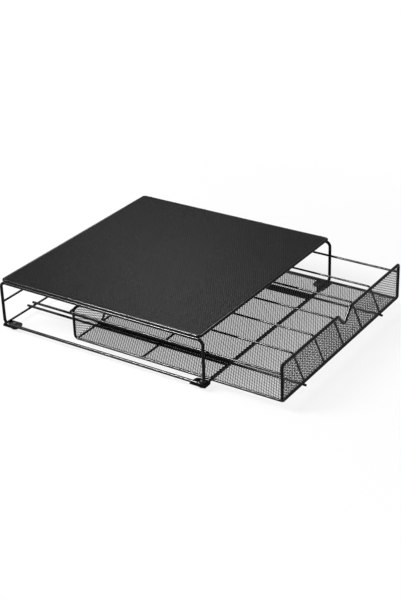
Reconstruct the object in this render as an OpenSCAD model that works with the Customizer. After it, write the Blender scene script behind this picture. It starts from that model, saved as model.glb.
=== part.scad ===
// Coffee pod drawer: a low wire stand with a sheet metal deck, and a mesh drawer
// that slides on two pairs of wire runners under it. The front faces -Y.
// The origin is on the ground, under the middle of the part with its drawer as drawn.

/* [Stand] */
// Distance between the centre lines of the two side loops
frame_w = 324; // [300:1:400]
// Distance between the centre lines of the front and back posts
frame_d = 320; // [300:1:400]
// Height of a side loop, from centre line to centre line
loop_h = 61.9; // [58:0.1:90]
// Wire diameter of the side loops
loop_wire_d = 4.2; // [3:0.1:6]
// Bend radius of a side loop's two upper corners, on its centre line
loop_top_r = 7; // [5:0.5:14]
// Bend radius of a side loop's two lower corners, on its centre line
loop_bottom_r = 7; // [5:0.5:12]
// Wire diameter of the rails across the stand
rail_wire_d = 3; // [2.5:0.1:4]
// How far the rails run past the centre lines of the side loops
rail_overhang = 1.8; // [0:0.1:2]
// Height of the back middle rail above the lower rails of the side loops
back_rail_h = 35.5; // [25:0.5:36]

/* [Deck] */
// Wire diameter of the deck's rim
rim_wire_d = 4.2; // [3:0.1:6]
// How far the rim stays behind the posts at the front, and in front of them at the back
rim_inset = 4; // [0:0.5:10]
// Bend radius of the rim's corners, on its centre line
rim_corner_r = 3.5; // [3.2:0.1:20]
// Thickness of the deck sheet
sheet_t = 0.8; // [0.6:0.1:1.2]
// How far the rim stands above the sheet
rim_lip = 0.3; // [0.1:0.1:0.8]
// Wire diameter of the wires across the deck, under the sheet
deck_wire_d = 3.2; // [2.5:0.1:4]
// Distance of the first and the last deck wire from the posts
deck_wire_inset = 16; // [14:0.5:30]

/* [Runners] */
// Wire diameter of the runners
runner_wire_d = 3.4; // [2.8:0.1:4.5]
// Distance of the middle of each pair of runners from the middle of the stand
runner_x = 104.4; // [60:0.1:140]
// Distance between the two runners of a pair
runner_pitch = 10.9; // [9:0.1:20]
// How far the runners reach past the bottom rails
runner_overhang = 2; // [0.5:0.5:5]

/* [Feet] */
// Length of a foot plate along the side loop
plate_l = 23; // [20:0.5:40]
// Width of a foot plate
plate_w = 17; // [16:0.5:22]
// Thickness of a foot plate
plate_t = 1.6; // [1:0.1:3]
// Corner radius of a foot plate's free end
plate_corner_r = 6; // [2:0.5:8]
// How far a foot plate reaches past the posts' centre line
plate_past_post = 2.5; // [1:0.5:5]
// Diameter of a rubber foot
foot_d = 12.4; // [8:0.2:13]
// Height of a rubber foot under its plate
foot_h = 5.9; // [3:0.1:15]
// Bevel on a rubber foot's edges
foot_bevel = 1; // [0.2:0.1:1.5]
// Distance of a foot's axis from the side loop, towards the middle
foot_in_x = 10; // [9:0.5:11]
// Distance of a foot's axis from the post, towards the middle
foot_in_y = 8.5; // [7:0.5:12]
// Diameter of a foot's stem
stem_d = 4; // [2:0.1:5]
// Diameter of the head that holds the stem in the plate
head_d = 6.4; // [5.6:0.1:8]
// Height of that head
head_h = 1.4; // [0.8:0.1:2.5]

/* [Drawer] */
// How far the closed drawer's front frame stands in front of the posts, from centre line to centre line
drawer_front_out = 0.6; // [-20:0.2:5]
// How far the drawer stands open, measured from its closed stop
drawer_open = 106.6; // [0:0.2:190]
// Height of the front frame, from centre line to centre line
front_h = 49.4; // [44:0.2:50]
// Wire diameter of the front frame
front_wire_d = 4.2; // [3:0.1:5]
// Bend radius of the front frame's corners
front_corner_r = 3; // [2.6:0.1:5]
// Half the width of the finger notch in the front frame's top
notch_half_w = 17; // [12:0.5:30]
// Depth of the finger notch, on the centre line
notch_depth = 18.5; // [10:0.5:25]
// Bend radius of the notch's three bends
notch_bend_r = 3.5; // [2.6:0.1:5]
// Wire diameter of the long wire that runs along both sides and over the back
side_wire_d = 3.6; // [3:0.1:4.5]
// How far that wire stays inside the front frame's posts
side_wire_in = 2.5; // [2:0.1:5]
// Height of the drawer's back, from centre line to centre line
back_h = 41.8; // [40:0.2:48]
// Bend radius of the long wire
side_bend_r = 5; // [3:0.5:8]
// Wire diameter of the rail around the drawer's sides and back
drawer_rail_d = 3; // [2.5:0.1:3.4]
// Height of that rail above the long wire's lower run
drawer_rail_h = 38.6; // [36:0.2:39]
// Wire diameter of the wires across the drawer, under its floor
floor_wire_d = 2.8; // [2.4:0.1:4]
// Distance of the rear floor wire from the back posts
back_wire_in = 4; // [3:0.5:8]
// Thickness of the mesh panels
mesh_t = 0.7; // [0.5:0.1:1]
// How far the front mesh lies in front of the front frame's centre plane
front_mesh_out = 0.95; // [0.9:0.05:1.2]
// Width of the strands between the openings of a mesh panel
mesh_strand_w = 4; // [3:0.5:8]
// Number of openings across a mesh panel
mesh_columns = 12; // [6:1:12]
// Number of openings along the floor mesh
floor_mesh_rows = 12; // [6:1:12]
// Number of openings over the height of the front mesh and of the back mesh
wall_mesh_rows = 2; // [1:1:2]

/* [Dividers] */
// Distance between two dividers
divider_pitch = 51.5; // [45:0.5:52]
// Wire diameter of a divider
divider_wire_d = 2.6; // [2:0.1:3]
// Height of a divider's centre line above the drawer's floor
divider_h = 34; // [20:0.5:36]
// How far a divider's legs lean from upright, in degrees
divider_lean = 24; // [5:1:35]
// Bend radius of a divider
divider_bend_r = 5; // [3:0.5:10]

/* [Guides] */
// Wire diameter of the guide wires under the drawer
guide_wire_d = 3.2; // [2.6:0.1:3.4]
// How far a guide wire reaches past the front frame
guide_tip = 1.5; // [0.5:0.5:5]
// Length of the stop leg, from the guide wire's centre line
guide_leg = 5; // [4.5:0.5:8]
// Bend radius between a guide wire and its stop leg
guide_bend_r = 2.4; // [2:0.1:3]

/* [Clearances] */
// Play between the drawer's rail and the side loops, on each side
drawer_side_gap = 1.3; // [0.8:0.1:10]
// Play between the drawer's floor wires and the runners
slide_gap = 0.25; // [0.2:0.05:0.5]
// Distance left at the closed stop and at the open stop
stop_gap = 0.3; // [0.2:0.05:0.5]
// Play between the mesh panels' cut corners and the long wire's bends
mesh_gap = 0.3; // [0.1:0.1:1]
// Play between a foot's stem and its hole
stem_gap = 0.1; // [0.05:0.05:0.3]
// Depth to which welded wires sink into each other
weld = 0.015; // [0.01:0.005:0.03]
// How far a bend is thicker than its wire, from the bending
bend_swell = 0.01; // [0.01:0.005:0.02]

/* [Hidden] */
$fn = 32;

coat = [0.07, 0.07, 0.075];
sheet_coat = [0.16, 0.16, 0.165];
mesh_coat = [0.12, 0.12, 0.12];
rubber = [0.04, 0.04, 0.04];

// How far a rod runs into its bend
lap = 0.1;
deck_wire_count = 4;
floor_wire_count = 3;
divider_count = 5;

// Wire radii
loop_r = loop_wire_d / 2;
rail_r = rail_wire_d / 2;
rim_r = rim_wire_d / 2;
deck_r = deck_wire_d / 2;
runner_r = runner_wire_d / 2;
front_r = front_wire_d / 2;
side_r = side_wire_d / 2;
drawer_rail_r = drawer_rail_d / 2;
floor_r = floor_wire_d / 2;
guide_r = guide_wire_d / 2;
divider_r = divider_wire_d / 2;

// Half the width of a round wire at height h off its centre
function chord(r, h) = sqrt(r * r - h * h);

// Heights of the stand
loop_z = foot_h + plate_t + loop_r;
loop_top_z = loop_z + loop_h;
rim_z = loop_top_z + loop_r + rim_r - weld;
sheet_top_z = rim_z + rim_r - rim_lip;
sheet_z = sheet_top_z - sheet_t;
deck_wire_z = sheet_z - deck_r + weld;
rail_z = foot_h + plate_t + rail_r - weld;
back_rail_z = loop_z + back_rail_h;
runner_z = rail_z + rail_r + runner_r - weld;

// Heights of the drawer
slide_z = runner_z + runner_r + slide_gap;
front_z = slide_z + front_r;
front_top_z = front_z + front_h;
floor_wire_z = slide_z + floor_r;
floor_z = slide_z + floor_wire_d - weld;
floor_top_z = floor_z + mesh_t;
side_z = floor_z - side_r + weld;
back_top_z = side_z + back_h;
drawer_rail_z = side_z + drawer_rail_h;
guide_z = slide_z - guide_r + weld;
divider_z = floor_top_z + divider_h;

// Places along Y, first from the front posts, then from the origin
rail_out = chord(loop_bottom_r + loop_r + rail_r - weld, loop_bottom_r + loop_r - rail_r) - loop_bottom_r;
back_rail_in = loop_r + rail_r - weld;
drawer_d = frame_d - back_rail_in - rail_r - stop_gap - side_r + drawer_front_out;
runner_end = rail_out + rail_r + runner_overhang;
tip = front_r + guide_tip;
post_y = -(frame_d + runner_end - drawer_front_out - drawer_open - tip) / 2;
back_post_y = post_y + frame_d;
front_y = post_y - drawer_front_out - drawer_open;
drawer_back_y = front_y + drawer_d;
back_mesh_y = drawer_back_y - side_r - mesh_t + weld;
back_wire_y = drawer_back_y - back_wire_in;

// Places along X
loop_x = frame_w / 2;
drawer_rail_x = loop_x - loop_r - drawer_side_gap - drawer_rail_r;
side_x = drawer_rail_x - drawer_rail_r - side_r + weld;
front_x = side_x + side_wire_in;
foot_x = loop_x - foot_in_x;

function unit(v) = v / norm(v);

// A frame whose x and y axes are a and b, placed at p
function frame_at(p, a, b) = let (c = cross(a, b))
    [[a.x, b.x, c.x, p.x], [a.y, b.y, c.y, p.y], [a.z, b.z, c.z, p.z], [0, 0, 0, 1]];

// Any direction square to d
function side_of(d) = unit(cross(abs(d.z) < 0.9 ? [0, 0, 1] : [1, 0, 0], d));

// How far a bend of radius r at b, between a and c, reaches back along its legs
function reach(a, b, c, r) = r * tan(acos(unit(b - a) * unit(c - b)) / 2);

module rod(a, b, r) {
    d = unit(b - a);
    s = side_of(d);
    multmatrix(frame_at(a, s, cross(d, s))) cylinder(r = r, h = norm(b - a));
}

// A bend of centre line radius bend_r at the corner b, on the way from a to c.
// It takes in the ends of its two rods.
module bend(a, b, c, r, bend_r) {
    u = unit(b - a);
    v = unit(c - b);
    turn = acos(u * v);
    hub = b + unit(v - u) * bend_r / cos(turn / 2);
    start = b - u * reach(a, b, c, bend_r);
    multmatrix(frame_at(hub, unit(start - hub), u))
        rotate_extrude(angle = turn) translate([bend_r, 0]) circle(r = r + bend_swell);
}

// A wire along the points, bent at each inner point; radii holds one radius per point
module wire(points, r, radii) {
    last = len(points) - 1;
    for (i = [0:last - 1]) {
        a = points[i];
        b = points[i + 1];
        from = i == 0 ? 0 : reach(points[i - 1], a, b, radii[i]) - lap;
        to = i + 1 == last ? 0 : reach(a, b, points[i + 2], radii[i + 1]) - lap;
        rod(a + unit(b - a) * from, b - unit(b - a) * to, r);
    }
    for (i = [1:1:last - 1]) bend(points[i - 1], points[i], points[i + 1], r, radii[i]);
}

// A wire along the points and back to the first one
module closed_wire(points, r, radii) {
    count = len(points);
    for (i = [0:count - 1]) {
        before = points[(i + count - 1) % count];
        a = points[i];
        b = points[(i + 1) % count];
        after = points[(i + 2) % count];
        from = reach(before, a, b, radii[i]) - lap;
        to = reach(a, b, after, radii[(i + 1) % count]) - lap;
        rod(a + unit(b - a) * from, b - unit(b - a) * to, r);
        bend(before, a, b, r, radii[i]);
    }
}

// A flat rectangle with round corners, from x = -w / 2 to w / 2 and from y = 0 to l
module round_rect(w, l, r) {
    translate([-w / 2 + r, 0]) square([w - 2 * r, l]);
    translate([-w / 2, r]) square([w, l - 2 * r]);
    for (x = [-w / 2 + r, w / 2 - r], y = [r, l - r]) translate([x, y]) circle(r = r);
}

// Stand: side loops, rails, runners and deck

module side_loop(side) {
    x = side * loop_x;
    color(coat)
        closed_wire([[x, post_y, loop_z], [x, back_post_y, loop_z],
            [x, back_post_y, loop_top_z], [x, post_y, loop_top_z]],
            loop_r, [loop_bottom_r, loop_bottom_r, loop_top_r, loop_top_r]);
}

module cross_rail(y, z) {
    end = loop_x + rail_overhang;
    color(coat) rod([-end, y, z], [end, y, z], rail_r);
}

module runner(side, place) {
    x = side * runner_x + place * runner_pitch / 2;
    color(coat) rod([x, post_y - runner_end, runner_z], [x, back_post_y + runner_end, runner_z], runner_r);
}

module deck_rim() {
    front = post_y + rim_inset;
    back = back_post_y - rim_inset;
    color(coat)
        closed_wire([[-loop_x, front, rim_z], [loop_x, front, rim_z],
            [loop_x, back, rim_z], [-loop_x, back, rim_z]],
            rim_r, [for (i = [1:4]) rim_corner_r]);
}

module deck_wire(i) {
    span = frame_d - 2 * deck_wire_inset;
    y = post_y + deck_wire_inset + (i - 1) * span / (deck_wire_count - 1);
    end = loop_x - chord(rim_r, deck_wire_z - rim_z) + weld;
    color(coat) rod([-end, y, deck_wire_z], [end, y, deck_wire_z], deck_r);
}

// The sheet ends against the inner flank of the rim
module deck_sheet() {
    edge = chord(rim_r, sheet_z - rim_z) - weld;
    color(sheet_coat)
        translate([0, post_y + rim_inset + edge, sheet_z]) linear_extrude(sheet_t)
            round_rect(frame_w - 2 * edge, frame_d - 2 * rim_inset - 2 * edge, rim_corner_r - edge);
}

// Feet: a plate welded under each end of a side loop, and a rubber foot pushed into it

// The plate at the front left; the others are its mirror images
module plate_shape() {
    x = -loop_x - loop_r;
    y = post_y - plate_past_post;
    r = plate_corner_r;
    difference() {
        union() {
            translate([x, y]) square([plate_w - r, plate_l]);
            translate([x, y + r]) square([plate_w, plate_l - 2 * r]);
            for (c = [r, plate_l - r]) translate([x + plate_w - r, y + c]) circle(r = r);
        }
        translate([-foot_x, post_y + foot_in_y]) circle(d = stem_d + 2 * stem_gap);
    }
}

// Places a front left child at one of the four corners
module corner(side, end) {
    mid = post_y + frame_d / 2;
    translate([0, end > 0 ? 2 * mid : 0, 0]) mirror([0, end > 0 ? 1 : 0, 0])
        mirror([side > 0 ? 1 : 0, 0, 0]) children();
}

module foot_plate(side, end) {
    color(coat) corner(side, end) translate([0, 0, foot_h]) linear_extrude(plate_t) plate_shape();
}

module rubber_foot(side, end) {
    r = foot_d / 2;
    b = foot_bevel;
    top = foot_h + plate_t;
    color(rubber) corner(side, end) translate([-foot_x, post_y + foot_in_y, 0]) rotate_extrude()
        polygon([[0, 0], [r - b, 0], [r, b], [r, foot_h - b], [r - b, foot_h], [stem_d / 2, foot_h],
            [stem_d / 2, top], [head_d / 2, top], [head_d / 2, top + head_h / 2],
            [stem_d / 2, top + head_h], [0, top + head_h]]);
}

// Drawer: front frame with its finger notch, long wire, rail, floor wires and guides

function front_outline(inset) = let (x = front_x - inset, top = front_top_z - inset,
    low = front_z + inset, slope = atan(notch_half_w / notch_depth),
    shoulder = notch_half_w + inset * tan((90 - slope) / 2), dip = top - notch_depth - inset / sin(slope) + inset)
    [[-x, low], [x, low], [x, top], [shoulder, top], [0, dip], [-shoulder, top], [-x, top]];

module drawer_front_frame() {
    points = [for (p = front_outline(0)) [p.x, front_y, p.y]];
    c = front_corner_r;
    n = notch_bend_r;
    color(coat) closed_wire(points, front_r, [c, c, c, n, n, n, c]);
}

module drawer_side_wire() {
    start = front_y + chord(front_r, front_z - side_z) - weld;
    b = side_bend_r;
    color(coat)
        wire([[-side_x, start, side_z], [-side_x, drawer_back_y, side_z], [-side_x, drawer_back_y, back_top_z],
            [side_x, drawer_back_y, back_top_z], [side_x, drawer_back_y, side_z], [side_x, start, side_z]],
            side_r, [0, b, b, b, b, 0]);
}

// The rail wraps around the outside of the back posts
module drawer_rail() {
    x = drawer_rail_x;
    back = drawer_back_y + drawer_rail_x - side_x;
    start = front_y + chord(front_r, drawer_rail_x - front_x) - weld;
    b = drawer_rail_x - side_x;
    color(coat)
        wire([[-x, start, drawer_rail_z], [-x, back, drawer_rail_z],
            [x, back, drawer_rail_z], [x, start, drawer_rail_z]], drawer_rail_r, [0, b, b, 0]);
}

module drawer_floor_wire(i) {
    y = front_y + i * (back_wire_y - front_y) / floor_wire_count;
    end = side_x - chord(side_r, floor_wire_z - side_z) + weld;
    color(coat) rod([-end, y, floor_wire_z], [end, y, floor_wire_z], floor_r);
}

// A guide wire runs between the two runners of a pair; its rear end is turned down as the open stop
module guide_wire(side) {
    x = side * runner_x;
    color(coat)
        wire([[x, front_y - tip, guide_z], [x, back_wire_y, guide_z], [x, back_wire_y, guide_z - guide_leg]],
            guide_r, [0, guide_bend_r, 0]);
}

// Drawer: mesh panels. Their openings are drawn as a plain grid, coarser than the real mesh.

// Openings from the corner a to the corner b, with a strand between any two
module openings(a, b, rows) {
    w = mesh_strand_w;
    pitch = [(b.x - a.x + w) / mesh_columns, (b.y - a.y + w) / rows];
    for (i = [0:mesh_columns - 1], j = [0:rows - 1])
        translate([a.x + i * pitch.x, a.y + j * pitch.y]) square([pitch.x - w, pitch.y - w]);
}

// The corners are cut back where the long wire bends up.
// The dividers' feet stand on the strip behind the openings.
module drawer_floor_mesh() {
    front = front_y + chord(front_r, front_z - floor_z) - weld;
    back = back_mesh_y + mesh_t;
    cut = drawer_back_y - side_bend_r;
    inner = side_x - side_r - mesh_gap;
    edge = inner - mesh_strand_w;
    color(mesh_coat) translate([0, 0, floor_z]) linear_extrude(mesh_t) difference() {
        polygon([[-side_x, front], [side_x, front], [side_x, cut], [inner, cut], [inner, back],
            [-inner, back], [-inner, cut], [-side_x, cut]]);
        openings([-edge, front + mesh_strand_w], [edge, back_mesh_y - 2 * divider_wire_d], floor_mesh_rows);
    }
}

// The openings keep a strand's width from the frame and from its notch
module drawer_front_mesh() {
    edge = chord(front_r, front_mesh_out - mesh_t / 2) - weld;
    field = front_outline(edge + mesh_strand_w);
    color(mesh_coat) translate([0, front_y - front_mesh_out + mesh_t / 2, 0]) rotate([90, 0, 0])
        linear_extrude(mesh_t) difference() {
            polygon(front_outline(edge));
            intersection() {
                polygon(field);
                openings(field[0], field[2], wall_mesh_rows);
            }
        }
}

module drawer_back_mesh() {
    low = floor_top_z - weld;
    knee = side_z + side_bend_r;
    inner = side_x - side_r - mesh_gap;
    edge = inner - mesh_strand_w;
    b = side_bend_r;
    color(mesh_coat) translate([0, back_mesh_y + mesh_t, 0]) rotate([90, 0, 0])
        linear_extrude(mesh_t) difference() {
            union() {
                translate([-inner, low]) square([2 * inner, knee - low]);
                translate([-side_x, knee]) square([2 * side_x, back_top_z - b - knee]);
                translate([-side_x + b, knee]) square([2 * side_x - 2 * b, back_top_z - knee]);
                for (x = [-side_x + b, side_x - b]) translate([x, back_top_z - b]) circle(r = b);
            }
            openings([-edge, low + mesh_strand_w], [edge, back_top_z - mesh_strand_w], wall_mesh_rows);
        }
}

// Dividers: each one rises from the front frame, runs back over the floor and comes down on it.
// The rear leg is cut off level at the floor.

module divider(i) {
    x = (i - (divider_count + 1) / 2) * divider_pitch;
    lean = tan(divider_lean);
    start = front_r - weld;
    front = [x, front_y + start * sin(divider_lean), front_z + start * cos(divider_lean)];
    front_top = [x, front_y + (divider_z - front_z) * lean, divider_z];
    back_end = back_mesh_y - divider_wire_d;
    back = [x, back_end + divider_wire_d * lean, floor_top_z - divider_wire_d];
    back_top = [x, back_end - divider_h * lean, divider_z];
    cut = 4 * divider_wire_d;
    color(coat) difference() {
        wire([front, front_top, back_top, back], divider_r, [0, divider_bend_r, divider_bend_r, 0]);
        translate([x - cut / 2, back_end - cut / 2, floor_top_z - weld - cut]) cube(cut);
    }
}

deck_sheet();
deck_rim();
deck_wire(1);  // deck_wire_1
deck_wire(2);  // deck_wire_2
deck_wire(3);  // deck_wire_3
deck_wire(4);  // deck_wire_4
side_loop(-1);  // side_loop_left
side_loop(1);  // side_loop_right
cross_rail(back_post_y - back_rail_in, back_rail_z);  // back_middle_rail
cross_rail(back_post_y + rail_out, rail_z);  // back_bottom_rail
cross_rail(post_y - rail_out, rail_z);  // front_bottom_rail
runner(-1, -1);  // runner_left_outer
runner(-1, 1);  // runner_left_inner
runner(1, -1);  // runner_right_inner
runner(1, 1);  // runner_right_outer
foot_plate(-1, -1);  // foot_plate_front_left
foot_plate(1, -1);  // foot_plate_front_right
foot_plate(-1, 1);  // foot_plate_back_left
foot_plate(1, 1);  // foot_plate_back_right
rubber_foot(-1, -1);  // rubber_foot_front_left
rubber_foot(1, -1);  // rubber_foot_front_right
rubber_foot(-1, 1);  // rubber_foot_back_left
rubber_foot(1, 1);  // rubber_foot_back_right
drawer_front_frame();
drawer_side_wire();
drawer_rail();
drawer_floor_wire(1);  // drawer_floor_wire_1
drawer_floor_wire(2);  // drawer_floor_wire_2
drawer_floor_wire(3);  // drawer_floor_wire_3
guide_wire(-1);  // guide_wire_left
guide_wire(1);  // guide_wire_right
drawer_floor_mesh();
drawer_front_mesh();
drawer_back_mesh();
divider(1);  // divider_1
divider(2);  // divider_2
divider(3);  // divider_3
divider(4);  // divider_4
divider(5);  // divider_5
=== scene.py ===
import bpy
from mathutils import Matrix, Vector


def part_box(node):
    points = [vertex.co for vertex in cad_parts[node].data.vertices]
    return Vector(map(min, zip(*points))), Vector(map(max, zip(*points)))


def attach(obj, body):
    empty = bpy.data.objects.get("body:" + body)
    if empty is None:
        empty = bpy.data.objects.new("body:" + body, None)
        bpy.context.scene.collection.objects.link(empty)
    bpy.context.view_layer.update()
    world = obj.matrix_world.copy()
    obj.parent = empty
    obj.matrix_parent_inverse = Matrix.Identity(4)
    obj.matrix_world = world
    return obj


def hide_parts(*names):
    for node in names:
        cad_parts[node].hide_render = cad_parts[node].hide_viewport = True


bl_info = {
    "name": "Coffee Pod Drawer",
    "version": (1, 0, 0),
    "blender": (4, 5, 0),
    "location": "View3D > Sidebar > Pod Drawer",
    "description": "Coats, mesh panels, welds and stage for the wire stand with its coffee pod drawer",
    "category": "Object",
}

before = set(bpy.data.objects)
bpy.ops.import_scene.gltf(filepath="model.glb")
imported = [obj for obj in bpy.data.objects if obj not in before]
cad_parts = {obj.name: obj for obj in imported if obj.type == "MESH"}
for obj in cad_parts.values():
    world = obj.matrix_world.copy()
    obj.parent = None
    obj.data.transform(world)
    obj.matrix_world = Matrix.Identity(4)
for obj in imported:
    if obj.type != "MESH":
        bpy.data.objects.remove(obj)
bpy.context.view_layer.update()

import math

import bmesh
import bpy
from bpy.props import FloatProperty, FloatVectorProperty, PointerProperty
from mathutils import Matrix, Quaternion, Vector

MM = 0.001
X, Y, Z = 0, 1, 2
BOTH = (-1, 1)
SIDES = ((-1, "left"), (1, "right"))


# Sizes and colours that a user would change


class CoatSettings(bpy.types.PropertyGroup):
    wire_colour: FloatVectorProperty(
        name="Wire colour", description="Black powder coat of all wires and foot plates",
        subtype="COLOR", size=3, min=0, max=1, default=(0.004, 0.004, 0.0042))
    deck_colour: FloatVectorProperty(
        name="Deck colour", description="Powder coat of the deck sheet",
        subtype="COLOR", size=3, min=0, max=1, default=(0.0095, 0.0093, 0.0095))
    mesh_colour: FloatVectorProperty(
        name="Mesh colour", description="Powder coat of the drawer's mesh panels",
        subtype="COLOR", size=3, min=0, max=1, default=(0.012, 0.012, 0.012))
    rubber_colour: FloatVectorProperty(
        name="Rubber colour", description="Rubber of the four feet",
        subtype="COLOR", size=3, min=0, max=1, default=(0.012, 0.012, 0.012))
    peel: FloatProperty(
        name="Orange peel", description="Distance between the small waves in the powder coat",
        subtype="DISTANCE", unit="LENGTH", min=0.0002, max=0.005, default=0.0012, precision=5)
    grain_length: FloatProperty(
        name="Grain length", description="Length of a diamond in the deck sheet's grain, across the stand",
        subtype="DISTANCE", unit="LENGTH", min=0.001, max=0.01, default=0.0052, precision=5)
    grain_width: FloatProperty(
        name="Grain width", description="Width of a diamond in the deck sheet's grain",
        subtype="DISTANCE", unit="LENGTH", min=0.001, max=0.01, default=0.0030, precision=5)


class MeshSettings(bpy.types.PropertyGroup):
    diamond_length: FloatProperty(
        name="Diamond length", description="Distance between two diamonds along the expanded mesh",
        subtype="DISTANCE", unit="LENGTH", min=0.004, max=0.012, default=0.0064, precision=5)
    diamond_width: FloatProperty(
        name="Diamond width", description="Distance between two diamonds across the expanded mesh",
        subtype="DISTANCE", unit="LENGTH", min=0.0025, max=0.008, default=0.0034, precision=5)
    strand_width: FloatProperty(
        name="Strand width", description="Width of a strand of the expanded mesh",
        subtype="DISTANCE", unit="LENGTH", min=0.0003, max=0.001, default=0.00066, precision=5)
    strand_thickness: FloatProperty(
        name="Strand thickness", description="Thickness of the sheet that the mesh is cut from",
        subtype="DISTANCE", unit="LENGTH", min=0.0002, max=0.0006, default=0.0004, precision=5)


class WeldSettings(bpy.types.PropertyGroup):
    radius: FloatProperty(
        name="Weld radius", description="Radius of a weld where two wires cross",
        subtype="DISTANCE", unit="LENGTH", min=0.0005, max=0.003, default=0.0016, precision=5)
    height: FloatProperty(
        name="Weld height", description="Half the height of a weld where two wires cross",
        subtype="DISTANCE", unit="LENGTH", min=0.0003, max=0.002, default=0.0008, precision=5)
    roughness: FloatProperty(
        name="Unevenness", description="How far the surface of a weld wanders, as a share of its radius",
        min=0, max=0.2, default=0.06)
    corner: FloatProperty(
        name="Lower bend", description="Bend radius of the side loops' lower corners",
        subtype="DISTANCE", unit="LENGTH", min=0.003, max=0.012, default=0.007, precision=5)


class StageSettings(bpy.types.PropertyGroup):
    floor_colour: FloatVectorProperty(
        name="Floor colour", description="Pale floor under the stand",
        subtype="COLOR", size=3, min=0, max=1, default=(0.86, 0.86, 0.86))
    floor_glow: FloatProperty(
        name="Floor glow",
        description="How much of the seen floor is plain white near the stand, so that its shadow is faint",
        min=0, max=1, default=0.85)
    shadow_reach: FloatProperty(
        name="Shadow reach",
        description="Distance from the middle where the shadow starts to fade into plain white",
        subtype="DISTANCE", unit="LENGTH", min=0.1, max=4, default=0.32)
    sky: FloatProperty(
        name="Sky light", description="Strength of the even light from all around",
        min=0, max=2, default=0.3)
    key: FloatProperty(
        name="Key light",
        description="Power of the large lamp behind on the left, which casts the faint shadow",
        subtype="POWER", unit="POWER", min=0, max=500, default=60)
    glint: FloatProperty(
        name="Glint",
        description="Power of the narrow lamp amid the key light, which shows only in the gloss",
        subtype="POWER", unit="POWER", min=0, max=500, default=260)
    back: FloatProperty(
        name="Back light",
        description="Power of the lamp behind on the right, seen only as a gloss, mostly on the deck",
        subtype="POWER", unit="POWER", min=0, max=500, default=5.4)
    lens: FloatProperty(
        name="Lens", description="Focal length of the camera",
        subtype="DISTANCE_CAMERA", unit="CAMERA", min=10, max=300, default=78.552)


# Selecting and naming


def deselect():
    if bpy.context.object and bpy.context.object.mode != "OBJECT":
        bpy.ops.object.mode_set(mode="OBJECT")
    bpy.ops.object.select_all(action="DESELECT")


def select_only(piece):
    deselect()
    piece.select_set(True)
    bpy.context.view_layer.objects.active = piece


def named(name):
    piece = bpy.context.active_object
    piece.name = name
    piece.data.name = name
    return piece


def edit(piece, mode="VERT"):
    select_only(piece)
    bpy.ops.object.mode_set(mode="EDIT")
    bpy.ops.mesh.select_mode(type=mode)


def choose(piece, kind, test):
    """Selects the faces or vertices that pass the test, and nothing else."""
    bm = bmesh.from_edit_mesh(piece.data)
    bpy.ops.mesh.select_all(action="DESELECT")
    for part in getattr(bm, kind):
        if test(part):
            part.select_set(True)
    bm.select_flush_mode()
    bmesh.update_edit_mesh(piece.data)


def apply_place(piece):
    select_only(piece)
    bpy.ops.object.transform_apply(location=True, rotation=True, scale=True)


def apply_modifier(piece, modifier):
    select_only(piece)
    bpy.ops.object.modifier_apply(modifier=modifier.name)


def coat(piece, material):
    piece.data.materials.clear()
    piece.data.materials.append(material)


def finish_piece(piece, body, material, replaced=()):
    coat(piece, material)
    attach(piece, body)
    if replaced:
        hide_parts(*replaced)


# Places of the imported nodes


def lowest(node):
    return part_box(node)[0]


def highest(node):
    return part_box(node)[1]


def middle(node):
    low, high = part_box(node)
    return (low + high) / 2


def half(node, axis):
    low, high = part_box(node)
    return (high[axis] - low[axis]) / 2


def numbered(name):
    """The nodes that share a name and differ by the number at its end, in their order."""
    return sorted(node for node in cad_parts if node.startswith(name))


# Materials

# Between these two values lies most of a noise
NOISE_LOW, NOISE_HIGH = 0.3, 0.7
# Places of the two colours and of the result on a Mix node that mixes colours
FIRST_COLOUR, SECOND_COLOUR, MIXED_COLOUR = 6, 7, 2


class Nodes:
    """A node tree, with short names for adding and linking its nodes."""

    def __init__(self, tree):
        self.tree = tree

    def add(self, kind, **values):
        node = self.tree.nodes.new(kind)
        for key, value in values.items():
            setattr(node, key, value)
        return node

    def link(self, a, b):
        self.tree.links.new(a, b)

    def math(self, kind, a, b=None):
        node = self.add("ShaderNodeMath", operation=kind)
        for socket, value in zip(node.inputs, (a, b)):
            if value is None:
                continue
            if isinstance(value, (int, float)):
                socket.default_value = value
            else:
                self.link(value, socket)
        return node.outputs[0]

    def ramp(self, value, low, high, out_low, out_high):
        node = self.add("ShaderNodeMapRange")
        self.link(value, node.inputs["Value"])
        ends = {"From Min": low, "From Max": high, "To Min": out_low, "To Max": out_high}
        for name, number in ends.items():
            node.inputs[name].default_value = number
        return node.outputs["Result"]

    def seen(self):
        """1 for what the camera sees, also in a gloss or through glass, and 0 for the light that it gives."""
        path = self.add("ShaderNodeLightPath").outputs
        mirrored = self.math("MAXIMUM", path["Is Glossy Ray"], path["Is Transmission Ray"])
        return self.math("MAXIMUM", path["Is Camera Ray"], mirrored)


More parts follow.
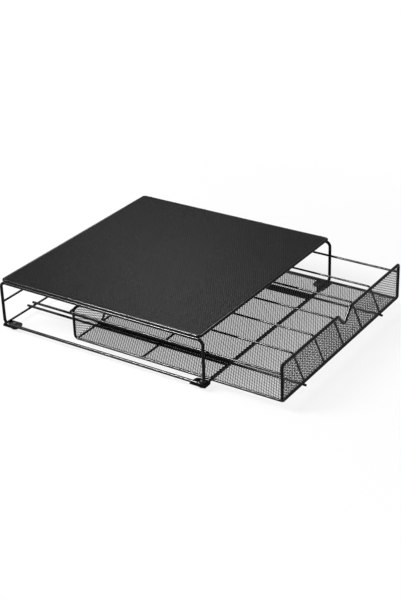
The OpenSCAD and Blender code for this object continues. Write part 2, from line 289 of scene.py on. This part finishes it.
class Coat(Nodes):
    """A material's nodes: its shader, and patterns that keep to their place on the piece."""

    def __init__(self, name):
        self.material = bpy.data.materials.new(name)
        self.material.use_nodes = True
        super().__init__(self.material.node_tree)
        self.shader = self.tree.nodes["Principled BSDF"]
        self.place = self.add("ShaderNodeTexCoord").outputs["Object"]

    def noise(self, size, detail, roughness):
        """Noise whose waves are about size metres apart."""
        node = self.add("ShaderNodeTexNoise")
        node.inputs["Scale"].default_value = 1 / size
        node.inputs["Detail"].default_value = detail
        node.inputs["Roughness"].default_value = roughness
        self.link(self.place, node.inputs["Vector"])
        return node.outputs["Fac"]

    def mix(self, share, a, b):
        """Mixes two colours, of which the first may come from another node."""
        node = self.add("ShaderNodeMix", data_type="RGBA")
        self.link(share, node.inputs["Factor"])
        if isinstance(a, tuple):
            node.inputs[FIRST_COLOUR].default_value = (*a, 1)
        else:
            self.link(a, node.inputs[FIRST_COLOUR])
        node.inputs[SECOND_COLOUR].default_value = (*b, 1)
        return node.outputs[MIXED_COLOUR]

    def shades(self, pattern, colour, darkest, lightest):
        return self.mix(pattern, lighter(colour, darkest), lighter(colour, lightest))

    def colour(self, value):
        self.link(value, self.shader.inputs["Base Color"])

    def gloss(self, pattern, level, shiniest, dullest):
        """Sets the specular level, and a roughness that follows the pattern."""
        self.shader.inputs["Specular IOR Level"].default_value = level
        roughness = self.ramp(pattern, NOISE_LOW, NOISE_HIGH, shiniest, dullest)
        self.link(roughness, self.shader.inputs["Roughness"])

    def relief(self, height, depth, strength):
        node = self.add("ShaderNodeBump")
        node.inputs["Strength"].default_value = strength
        node.inputs["Distance"].default_value = depth
        self.link(height, node.inputs["Height"])
        self.link(node.outputs["Normal"], self.shader.inputs["Normal"])


def lighter(colour, factor):
    return tuple(min(1.0, c * factor) for c in colour)


def wire_coat(name):
    """Satin powder coat: fine orange peel, slightly uneven gloss, a little dust."""
    s = bpy.context.scene.pod_coat
    m = Coat(name)
    peel = m.noise(size=s.peel, detail=3, roughness=0.6)
    patches = m.noise(size=0.03, detail=2, roughness=0.5)
    specks = m.noise(size=0.0005, detail=4, roughness=0.7)
    dust = m.ramp(specks, low=0.62, high=0.8, out_low=0, out_high=0.35)
    base = m.shades(patches, s.wire_colour, darkest=0.8, lightest=1.2)
    m.colour(m.mix(dust, base, lighter(s.wire_colour, factor=3)))
    m.gloss(patches, level=0.07, shiniest=0.14, dullest=0.18)
    m.relief(peel, depth=0.00002, strength=0.3)
    return m.material


def mesh_coat(name):
    """The same coat on the thin strands of the mesh, a little flatter."""
    s = bpy.context.scene.pod_coat
    m = Coat(name)
    patches = m.noise(size=0.02, detail=2, roughness=0.5)
    fine = m.noise(size=0.0006, detail=3, roughness=0.6)
    m.colour(m.shades(patches, s.mesh_colour, darkest=0.8, lightest=1.25))
    m.gloss(fine, level=0.12, shiniest=0.34, dullest=0.5)
    m.relief(fine, depth=0.00002, strength=0.5)
    return m.material


def deck_coat(name):
    """Embossed sheet under a satin coat: small diamonds with a soft groove between them, with painted shade
    in the grooves and painted light on the diamonds' tops.
    """
    fine_share = 0.15
    painted_shade_share, patch_share = 0.75, 0.25
    s = bpy.context.scene.pod_coat
    m = Coat(name)
    axes = m.add("ShaderNodeSeparateXYZ")
    m.link(m.place, axes.inputs[0])
    across = m.math("MULTIPLY", axes.outputs["X"], math.pi / s.grain_length)
    along = m.math("MULTIPLY", axes.outputs["Y"], math.pi / s.grain_width)
    first = m.math("ABSOLUTE", m.math("SINE", m.math("ADD", across, along)))
    second = m.math("ABSOLUTE", m.math("SINE", m.math("SUBTRACT", across, along)))
    diamonds = m.math("MULTIPLY", first, second)
    fine = m.noise(size=0.0007, detail=3, roughness=0.6)
    patches = m.noise(size=0.06, detail=3, roughness=0.5)
    height = m.math("ADD", diamonds, m.math("MULTIPLY", fine, fine_share))
    # Painted shade and light: the colour darkens in the grooves and lightens on the diamonds' tops, as light
    # would fall; the patches are the coat's own uneven tone
    painted_groove_shade = m.math("MULTIPLY", diamonds, painted_shade_share)
    patch_shade = m.math("MULTIPLY", patches, patch_share)
    painted_shade_and_patches = m.math("ADD", painted_groove_shade, patch_shade)
    m.colour(m.shades(painted_shade_and_patches, s.deck_colour, darkest=0.3, lightest=1.9))
    m.gloss(patches, level=0.011, shiniest=0.24, dullest=0.29)
    m.relief(height, depth=0.0002, strength=1.0)
    return m.material


def rubber(name):
    """Matt moulded rubber with a fine grain and paler patches."""
    s = bpy.context.scene.pod_coat
    m = Coat(name)
    grain = m.noise(size=0.0004, detail=4, roughness=0.7)
    patches = m.noise(size=0.004, detail=2, roughness=0.5)
    m.colour(m.shades(patches, s.rubber_colour, darkest=0.8, lightest=1.6))
    m.gloss(grain, level=0.3, shiniest=0.62, dullest=0.8)
    m.relief(grain, depth=0.00003, strength=0.7)
    return m.material


COATS = {
    "satin_wire_coat": wire_coat,
    "satin_mesh_coat": mesh_coat,
    "embossed_deck_coat": deck_coat,
    "foot_rubber": rubber,
}


def coat_named(name):
    return bpy.data.materials.get(name) or COATS[name](name)


# Expanded mesh

# Corners closer than this lie on one line
NEAR = 1e-5
# Decimals that two equal corners share, in metres
DECIMALS = 6
# Diamonds that the sheet has to spare at its edges
SPARE_DIAMONDS = 2
# A face larger than this share of a diamond is the hole in it, and a smaller one is part of a strand
HOLE_SHARE = 0.35


def lattice(name, width, height):
    """A flat expanded sheet around the origin, at least width by height, with its long diamonds along X."""
    s = bpy.context.scene.pod_mesh
    cells = math.ceil(width / s.diamond_length + height / s.diamond_width) + SPARE_DIAMONDS
    deselect()
    bpy.ops.mesh.primitive_grid_add(
        x_subdivisions=cells, y_subdivisions=cells, size=cells / math.sqrt(2), location=(0, 0, 0))
    sheet = named(name)
    edit(sheet, "FACE")
    bpy.ops.mesh.select_all(action="SELECT")
    bpy.ops.transform.rotate(value=math.radians(45), orient_axis="Z", center_override=(0, 0, 0))
    bpy.ops.transform.resize(value=(s.diamond_length, s.diamond_width, 1), center_override=(0, 0, 0))
    far_x = width / 2 + s.diamond_length
    far_y = height / 2 + s.diamond_width

    def outside(face):
        centre = face.calc_center_median()
        return abs(centre.x) > far_x or abs(centre.y) > far_y

    choose(sheet, "faces", outside)
    bpy.ops.mesh.delete(type="FACE")
    bpy.ops.mesh.select_all(action="SELECT")
    bpy.ops.mesh.bevel(
        offset=s.strand_width / 2, offset_type="OFFSET", segments=1, affect="EDGES", clamp_overlap=False)
    return sheet


def open_diamonds(sheet, depth):
    """Tilts the strands as an expanded sheet's are, within depth, and takes out the diamonds between them."""
    s = bpy.context.scene.pod_mesh
    tilt = (depth - s.strand_thickness) / 2
    hole = HOLE_SHARE * s.diamond_length * s.diamond_width / 2
    for pick, step in ((min, tilt), (max, -tilt)):
        bpy.ops.mesh.select_mode(type="FACE")
        bm = bmesh.from_edit_mesh(sheet.data)
        ends = {pick(f.verts, key=lambda v: v.co.y).index for f in bm.faces if f.calc_area() > hole}
        bpy.ops.mesh.select_mode(type="VERT")
        choose(sheet, "verts", lambda v: v.index in ends)
        bpy.ops.transform.translate(value=(0, 0, step))
    bpy.ops.mesh.select_mode(type="FACE")
    choose(sheet, "faces", lambda f: f.calc_area() > hole)
    bpy.ops.mesh.delete(type="FACE")


def trim(sheet, point, outward, side=None):
    """Cuts away what lies outside the line through point, of all faces or of those that side picks."""
    bpy.ops.mesh.select_mode(type="FACE")
    if side is None:
        bpy.ops.mesh.select_all(action="SELECT")
    else:
        choose(sheet, "faces", lambda f: side(f.calc_center_median()))
    bpy.ops.mesh.bisect(plane_co=(*point, 0), plane_no=(*outward, 0), clear_outer=True)


def trim_edges(sheet, width, height):
    for x in BOTH:
        trim(sheet, (x * width / 2, 0), (x, 0))
    for y in BOTH:
        trim(sheet, (0, y * height / 2), (0, y))


def split(point, normal):
    bpy.ops.mesh.select_all(action="SELECT")
    bpy.ops.mesh.bisect(plane_co=(*point, 0), plane_no=(*normal, 0))


def thicken(sheet, place, upright):
    """Sets the flat sheet at its place, upright and facing the front or flat, and gives it its thickness."""
    deselect()
    sheet.rotation_euler = (math.radians(90) if upright else 0, 0, 0)
    sheet.location = place
    apply_place(sheet)
    wall = sheet.modifiers.new("wall", "SOLIDIFY")
    wall.thickness = bpy.context.scene.pod_mesh.strand_thickness
    wall.offset = 0
    apply_modifier(sheet, wall)


def panel(node, up):
    """A flat node's centre and size, and its corners from that centre, along X and along the axis up."""
    low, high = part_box(node)
    centre = (low + high) / 2
    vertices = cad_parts[node].data.vertices
    points = {(round(v.co[X], DECIMALS), round(v.co[up], DECIMALS)) for v in vertices}
    corners = [(x - centre[X], y - centre[up]) for x, y in points]
    return centre, high - low, corners


def finish_mesh(sheet, node, place, upright):
    thicken(sheet, place, upright)
    finish_piece(sheet, "drawer", coat_named("satin_mesh_coat"), [node])


class POD_OT_floor_mesh(bpy.types.Operator):
    """Builds the drawer's floor of expanded mesh, with its two rear corners cut back"""

    bl_idname = "pod_drawer.floor_mesh"
    bl_label = "Floor mesh"

    def execute(self, context):
        node = "drawer_floor_mesh"
        centre, size, corners = panel(node, Y)
        rear = max(x for x, y in corners if y > size.y / 2 - NEAR)
        notch = min(y for x, y in corners if abs(x - rear) < NEAR)
        sheet = lattice("floor_mesh", size.x, size.y)
        open_diamonds(sheet, size.z)
        trim_edges(sheet, size.x, size.y)
        split((0, notch), (0, 1))
        for x in BOTH:
            trim(sheet, (x * rear, 0), (x, 0), lambda c: c.y > notch)
        finish_mesh(sheet, node, centre, upright=False)
        return {"FINISHED"}


class POD_OT_front_mesh(bpy.types.Operator):
    """Builds the drawer's front of expanded mesh, with the finger notch cut out of its upper edge"""

    bl_idname = "pod_drawer.front_mesh"
    bl_label = "Front mesh"

    def execute(self, context):
        node = "drawer_front_mesh"
        centre, size, corners = panel(node, Z)
        shoulder = min(abs(x) for x, z in corners if z > size.z / 2 - NEAR)
        dip = max(z for x, z in corners if abs(x) < NEAR)
        slope = Vector((size.z / 2 - dip, shoulder)).normalized()
        sheet = lattice("front_mesh", size.x, size.z)
        open_diamonds(sheet, size.y)
        trim_edges(sheet, size.x, size.z)
        split((0, 0), (1, 0))
        for x in BOTH:
            trim(sheet, (0, dip), (-x * slope.x, slope.y), lambda c: c.x * x > 0)
        finish_mesh(sheet, node, centre, upright=True)
        return {"FINISHED"}


class POD_OT_back_mesh(bpy.types.Operator):
    """Builds the drawer's back of expanded mesh, with its corners cut to the bends of the long wire"""

    bl_idname = "pod_drawer.back_mesh"
    bl_label = "Back mesh"

    def execute(self, context):
        node = "drawer_back_mesh"
        centre, size, corners = panel(node, Z)
        side = [z for x, z in corners if abs(x) > size.x / 2 - NEAR]
        knee = min(side)
        bend = size.z / 2 - max(side)
        foot = max(x for x, z in corners if z < -size.z / 2 + NEAR)
        sheet = lattice("back_mesh", size.x, size.z)
        open_diamonds(sheet, size.y)
        trim_edges(sheet, size.x, size.z)
        corner = size.x / 2 - bend + bend * math.sqrt(0.5)
        top = size.z / 2 - bend + bend * math.sqrt(0.5)
        for x in BOTH:
            trim(sheet, (x * corner, top), (x, 1))
        split((0, knee), (0, 1))
        for x in BOTH:
            trim(sheet, (x * foot, 0), (x, 0), lambda c: c.y < knee)
        finish_mesh(sheet, node, centre, upright=True)
        return {"FINISHED"}


# Welds


class Welds:
    """Gathers copies of one uneven bead, and joins them into a piece."""

    def __init__(self):
        s = bpy.context.scene.pod_weld
        r, h = s.radius, s.height
        # Half sizes along X, Y and Z
        self.sizes = {
            "rim_shoulder": (0.8 * MM, 2.2 * MM, 0.8 * MM),
            "rim_inside": (1.5 * MM, 2.4 * MM, 1.75 * MM),
            "rim_underside": (1.95 * MM, 2.8 * MM, h),
            "rail_on_post": (r, h, r),
            "rail_in_bend": (r, 1.2 * MM, 1.2 * MM),
            "loop_on_plate": (1.2 * MM, 3 * MM, 0.9 * MM),
            "runner_on_rail": (r, r, h),
            "long_wire_on_frame": (1.9 * MM, 1.2 * MM, 1.9 * MM),
            "drawer_rail_on_frame": (1.6 * MM, 1.1 * MM, 1.6 * MM),
            "drawer_rail_on_post": (h, r, r),
            "floor_wire_end": (1.0 * MM, 1.7 * MM, 1.3 * MM),
            "guide_on_wire": (1.4 * MM, r, 0.6 * MM),
            "divider_front": (1.6 * MM, 1.3 * MM, 0.8 * MM),
            "divider_back": (1.6 * MM, 1.8 * MM, 0.6 * MM),
        }
        deselect()
        bpy.ops.mesh.primitive_ico_sphere_add(subdivisions=2, radius=1, location=(0, 0, 0))
        self.bead = named("bead")
        edit(self.bead)
        bpy.ops.mesh.select_all(action="SELECT")
        bpy.ops.transform.vertex_random(offset=s.roughness, uniform=0.2, normal=0.8, seed=3)
        deselect()
        self.copies = []

    def add(self, kind, place):
        copy = self.bead.copy()
        copy.data = self.bead.data.copy()
        copy.location = place
        copy.scale = self.sizes[kind]
        bpy.context.scene.collection.objects.link(copy)
        self.copies.append(copy)

    def join(self, name, body):
        deselect()
        bpy.data.objects.remove(self.bead)
        for copy in self.copies:
            copy.select_set(True)
        bpy.context.view_layer.objects.active = self.copies[0]
        bpy.ops.object.transform_apply(location=True, rotation=True, scale=True)
        bpy.ops.object.join()
        piece = named(name)
        edit(piece)
        bpy.ops.mesh.select_all(action="SELECT")
        bpy.ops.mesh.normals_make_consistent(inside=False)
        deselect()
        piece.select_set(True)
        bpy.ops.object.shade_smooth()
        finish_piece(piece, body, coat_named("satin_wire_coat"))


class POD_OT_stand_welds(bpy.types.Operator):
    """Adds the welds of the stand: deck wires, rails, runners and foot plates on what carries them"""

    bl_idname = "pod_drawer.stand_welds"
    bl_label = "Stand welds"

    def execute(self, context):
        welds = Welds()
        self.weld_deck(welds)
        for x, side in SIDES:
            self.weld_loop(welds, x, side)
        self.weld_runners(welds)
        welds.join("stand_welds", "stand")
        return {"FINISHED"}

    def weld_deck(self, welds):
        shoulder = 1.2 * MM
        inside = 1.5 * MM
        rim_low, rim_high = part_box("deck_rim")
        rim_r = (rim_high.z - rim_low.z) / 2
        rim_x = rim_high.x - rim_r
        rim_z = rim_high.z - rim_r
        for wire in numbered("deck_wire"):
            y = middle(wire).y
            for x in BOTH:
                welds.add("rim_shoulder", (x * (rim_x + shoulder), y, rim_z + shoulder))
                welds.add("rim_inside", (x * (rim_x - inside), y, rim_z))
                welds.add("rim_underside", (x * rim_x, y, rim_low.z))

    def weld_loop(self, welds, x, side):
        bend = bpy.context.scene.pod_weld.corner
        beside_wire = 1.6 * MM
        above_plate = 0.25 * MM
        along_plate = (-5 * MM, 4 * MM)
        loop = "side_loop_" + side
        loop_low, loop_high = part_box(loop)
        loop_x = middle(loop).x
        loop_r = half(loop, X)
        rail = middle("back_middle_rail")
        welds.add("rail_on_post", (loop_x, rail.y + half("back_middle_rail", Y), rail.z))
        for node, end in (("front_bottom_rail", -1), ("back_bottom_rail", 1)):
            rail = middle(node)
            post_y = loop_low.y + loop_r if end < 0 else loop_high.y - loop_r
            hub = Vector((loop_x, post_y - end * bend, loop_low.z + loop_r + bend))
            rail.x = loop_x
            towards = (hub - rail).normalized()
            welds.add("rail_in_bend", rail + towards * half(node, Z))
        for end in ("front", "back"):
            plate = f"foot_plate_{end}_{side}"
            weld_x = loop_x - x * beside_wire
            for step in along_plate:
                place = (weld_x, middle(plate).y + step, highest(plate).z + above_plate)
                welds.add("loop_on_plate", place)

    def weld_runners(self, welds):
        for runner in ("left_outer", "left_inner", "right_inner", "right_outer"):
            for rail in ("front_bottom_rail", "back_bottom_rail"):
                place = (middle("runner_" + runner).x, middle(rail).y, highest(rail).z)
                welds.add("runner_on_rail", place)


class POD_OT_drawer_welds(bpy.types.Operator):
    """Adds the welds of the drawer: its wires on the front frame, floor wires, guide wires and dividers"""

    bl_idname = "pod_drawer.drawer_welds"
    bl_label = "Drawer welds"

    def execute(self, context):
        welds = Welds()
        for x, side in SIDES:
            self.weld_side(welds, x, side)
        self.weld_dividers(welds)
        welds.join("drawer_welds", "drawer")
        return {"FINISHED"}

    def weld_side(self, welds, x, side):
        long_low, long_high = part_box("drawer_side_wire")
        floor_x = highest("drawer_floor_mesh").x
        long_r = long_high.x - floor_x
        rail = middle("drawer_rail")
        rail_low, rail_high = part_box("drawer_rail")
        rail_x = rail_high.x - half("drawer_rail", Z)
        welds.add("long_wire_on_frame", (x * floor_x, long_low.y, long_low.z + long_r))
        welds.add("drawer_rail_on_frame", (x * rail_x, rail_low.y, rail.z))
        welds.add("drawer_rail_on_post", (x * long_high.x, long_high.y - long_r, rail.z))
        guide_x = middle("guide_wire_" + side).x
        under = lowest("drawer_floor_wire_1").z
        for wire in numbered("drawer_floor_wire"):
            end = middle(wire)
            welds.add("floor_wire_end", (x * half(wire, X), end.y, end.z))
            welds.add("guide_on_wire", (guide_x, end.y, under))
        welds.add("guide_on_wire", (guide_x, middle("drawer_front_frame").y, under))

    def weld_dividers(self, welds):
        behind_frame = 0.9 * MM
        above_wire = 0.3 * MM
        before_end = 1.4 * MM
        front = middle("drawer_front_frame").y + behind_frame
        floor_z = highest("drawer_floor_mesh").z
        for divider in numbered("divider"):
            low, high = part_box(divider)
            x = middle(divider).x
            welds.add("divider_front", (x, front, low.z + above_wire))
            welds.add("divider_back", (x, high.y - before_end, floor_z))


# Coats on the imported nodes


class POD_OT_coats(bpy.types.Operator):
    """Gives the wires, foot plates, deck sheet and rubber feet their finishes"""

    bl_idname = "pod_drawer.coats"
    bl_label = "Coats"

    def execute(self, context):
        for name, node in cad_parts.items():
            if name.startswith("rubber_foot"):
                finish = "foot_rubber"
            elif name == "deck_sheet":
                finish = "embossed_deck_coat"
            elif name.endswith("_mesh"):
                finish = "satin_mesh_coat"
            else:
                finish = "satin_wire_coat"
            coat(node, coat_named(finish))
        return {"FINISHED"}


# Stage

FLOOR_SIZE = 8
FLOOR_ROUGHNESS = 0.9
FLOOR_SPECULAR = 0.1

LAMP_TARGET = (0, 0, 0.05)
# Place, width and height, turn about the line of sight in degrees, and whether more than gloss shows it
LAMPS = {
    "key": ((-1.1, 1.06, 1.5), (0.7, 0.9), 0, True),
    "glint": ((-1.1, 0.9, 1.5), (0.6, 0.15), 34, False),
    "back": ((0.47, 0.34, 0.62), (0.3, 0.3), 0, False),
}

CAMERA_PLACE = (-1.308619, -0.880736, 0.839004)
# Azimuth, elevation and roll of the line of sight, in degrees
CAMERA_TURN = (-55.934, 27.26, -1.957)
SENSOR_WIDTH = 36
CAMERA_NEAR, CAMERA_FAR = 0.05, 50


def add_floor():
    """A pale floor that shows the stand's shadow nearby, and is plain white further out."""
    s = bpy.context.scene.pod_stage
    deselect()
    bpy.ops.mesh.primitive_plane_add(size=FLOOR_SIZE, location=(0, 0, 0))
    floor = named("floor")
    m = Coat("floor")
    m.shader.inputs["Roughness"].default_value = FLOOR_ROUGHNESS
    m.shader.inputs["Specular IOR Level"].default_value = FLOOR_SPECULAR
    patches = m.noise(size=0.4, detail=2, roughness=0.5)
    m.colour(m.shades(patches, s.floor_colour, darkest=0.995, lightest=1.005))
    reach = m.add("ShaderNodeVectorMath", operation="LENGTH")
    m.link(m.place, reach.inputs[0])
    glow = m.ramp(reach.outputs["Value"], s.shadow_reach, 2 * s.shadow_reach, s.floor_glow, 1)
    white = m.add("ShaderNodeEmission")
    both = m.add("ShaderNodeMixShader")
    m.link(m.math("MULTIPLY", m.seen(), glow), both.inputs[0])
    m.link(m.shader.outputs[0], both.inputs[1])
    m.link(white.outputs[0], both.inputs[2])
    m.link(both.outputs[0], m.tree.nodes["Material Output"].inputs["Surface"])
    coat(floor, m.material)


def add_sky():
    """Even white light from all around, which is plain white where it is looked at."""
    world = bpy.data.worlds.new("studio")
    bpy.context.scene.world = world
    world.use_nodes = True
    m = Nodes(world.node_tree)
    background = m.tree.nodes["Background"]
    background.inputs["Color"].default_value = (1, 1, 1, 1)
    sky = bpy.context.scene.pod_stage.sky
    strength = m.ramp(m.seen(), low=0, high=1, out_low=sky, out_high=1)
    m.link(strength, background.inputs["Strength"])


def add_lamp(name, power):
    place, size, turn, lights_all = LAMPS[name]
    deselect()
    bpy.ops.object.light_add(type="AREA", location=place)
    lamp = bpy.context.active_object
    lamp.name = name
    lamp.data.shape = "RECTANGLE"
    lamp.data.size, lamp.data.size_y = size
    lamp.data.energy = power
    aim = (Vector(LAMP_TARGET) - Vector(place)).to_track_quat("-Z", "Y")
    lamp.rotation_euler = (aim @ Quaternion((0, 0, 1), math.radians(turn))).to_euler()
    lamp.visible_diffuse = lights_all


def camera_matrix():
    azimuth, elevation, roll = (math.radians(a) for a in CAMERA_TURN)
    level = math.cos(elevation)
    back = Vector((math.sin(azimuth) * level, -math.cos(azimuth) * level, math.sin(elevation)))
    right = Vector((math.cos(azimuth), math.sin(azimuth), 0))
    up = back.cross(right)
    turned = right * math.cos(roll) + up * math.sin(roll)
    upward = up * math.cos(roll) - right * math.sin(roll)
    matrix = Matrix((turned, upward, back)).transposed().to_4x4()
    matrix.translation = Vector(CAMERA_PLACE)
    return matrix


def add_camera():
    bpy.ops.object.camera_add()
    camera = bpy.context.active_object
    camera.name = "camera"
    camera.matrix_world = camera_matrix()
    camera.data.lens = bpy.context.scene.pod_stage.lens
    camera.data.sensor_width = SENSOR_WIDTH
    camera.data.clip_start = CAMERA_NEAR
    camera.data.clip_end = CAMERA_FAR
    bpy.context.scene.camera = camera


class POD_OT_stage(bpy.types.Operator):
    """Sets the pale floor, the soft light from all around, three lamps and the camera"""

    bl_idname = "pod_drawer.stage"
    bl_label = "Stage"

    def execute(self, context):
        add_floor()
        add_sky()
        for name in LAMPS:
            add_lamp(name, getattr(context.scene.pod_stage, name))
        add_camera()
        context.scene.view_settings.view_transform = "Standard"
        return {"FINISHED"}


class POD_PT_panel(bpy.types.Panel):
    bl_idname = "POD_PT_panel"
    bl_label = "Coffee pod drawer"
    bl_space_type = "VIEW_3D"
    bl_region_type = "UI"
    bl_category = "Pod Drawer"

    def draw(self, context):
        for name in GROUPS:
            group = getattr(context.scene, name)
            box = self.layout.box()
            for setting in group.bl_rna.properties.keys():
                if setting not in ("rna_type", "name"):
                    box.prop(group, setting)
        for operator in OPERATORS:
            self.layout.operator(operator.bl_idname)


GROUPS = {
    "pod_coat": CoatSettings,
    "pod_mesh": MeshSettings,
    "pod_weld": WeldSettings,
    "pod_stage": StageSettings,
}
OPERATORS = (
    POD_OT_coats,
    POD_OT_floor_mesh,
    POD_OT_front_mesh,
    POD_OT_back_mesh,
    POD_OT_stand_welds,
    POD_OT_drawer_welds,
    POD_OT_stage,
)
CLASSES = (*GROUPS.values(), *OPERATORS, POD_PT_panel)


def register():
    for cls in CLASSES:
        bpy.utils.register_class(cls)
    for name, cls in GROUPS.items():
        setattr(bpy.types.Scene, name, PointerProperty(type=cls))


def unregister():
    for name in GROUPS:
        delattr(bpy.types.Scene, name)
    for cls in reversed(CLASSES):
        bpy.utils.unregister_class(cls)


def main():
    register()
    bpy.ops.pod_drawer.coats()
    bpy.ops.pod_drawer.floor_mesh()
    bpy.ops.pod_drawer.front_mesh()
    bpy.ops.pod_drawer.back_mesh()
    bpy.ops.pod_drawer.stand_welds()
    bpy.ops.pod_drawer.drawer_welds()
    bpy.ops.pod_drawer.stage()


if __name__ == "__main__":
    main()
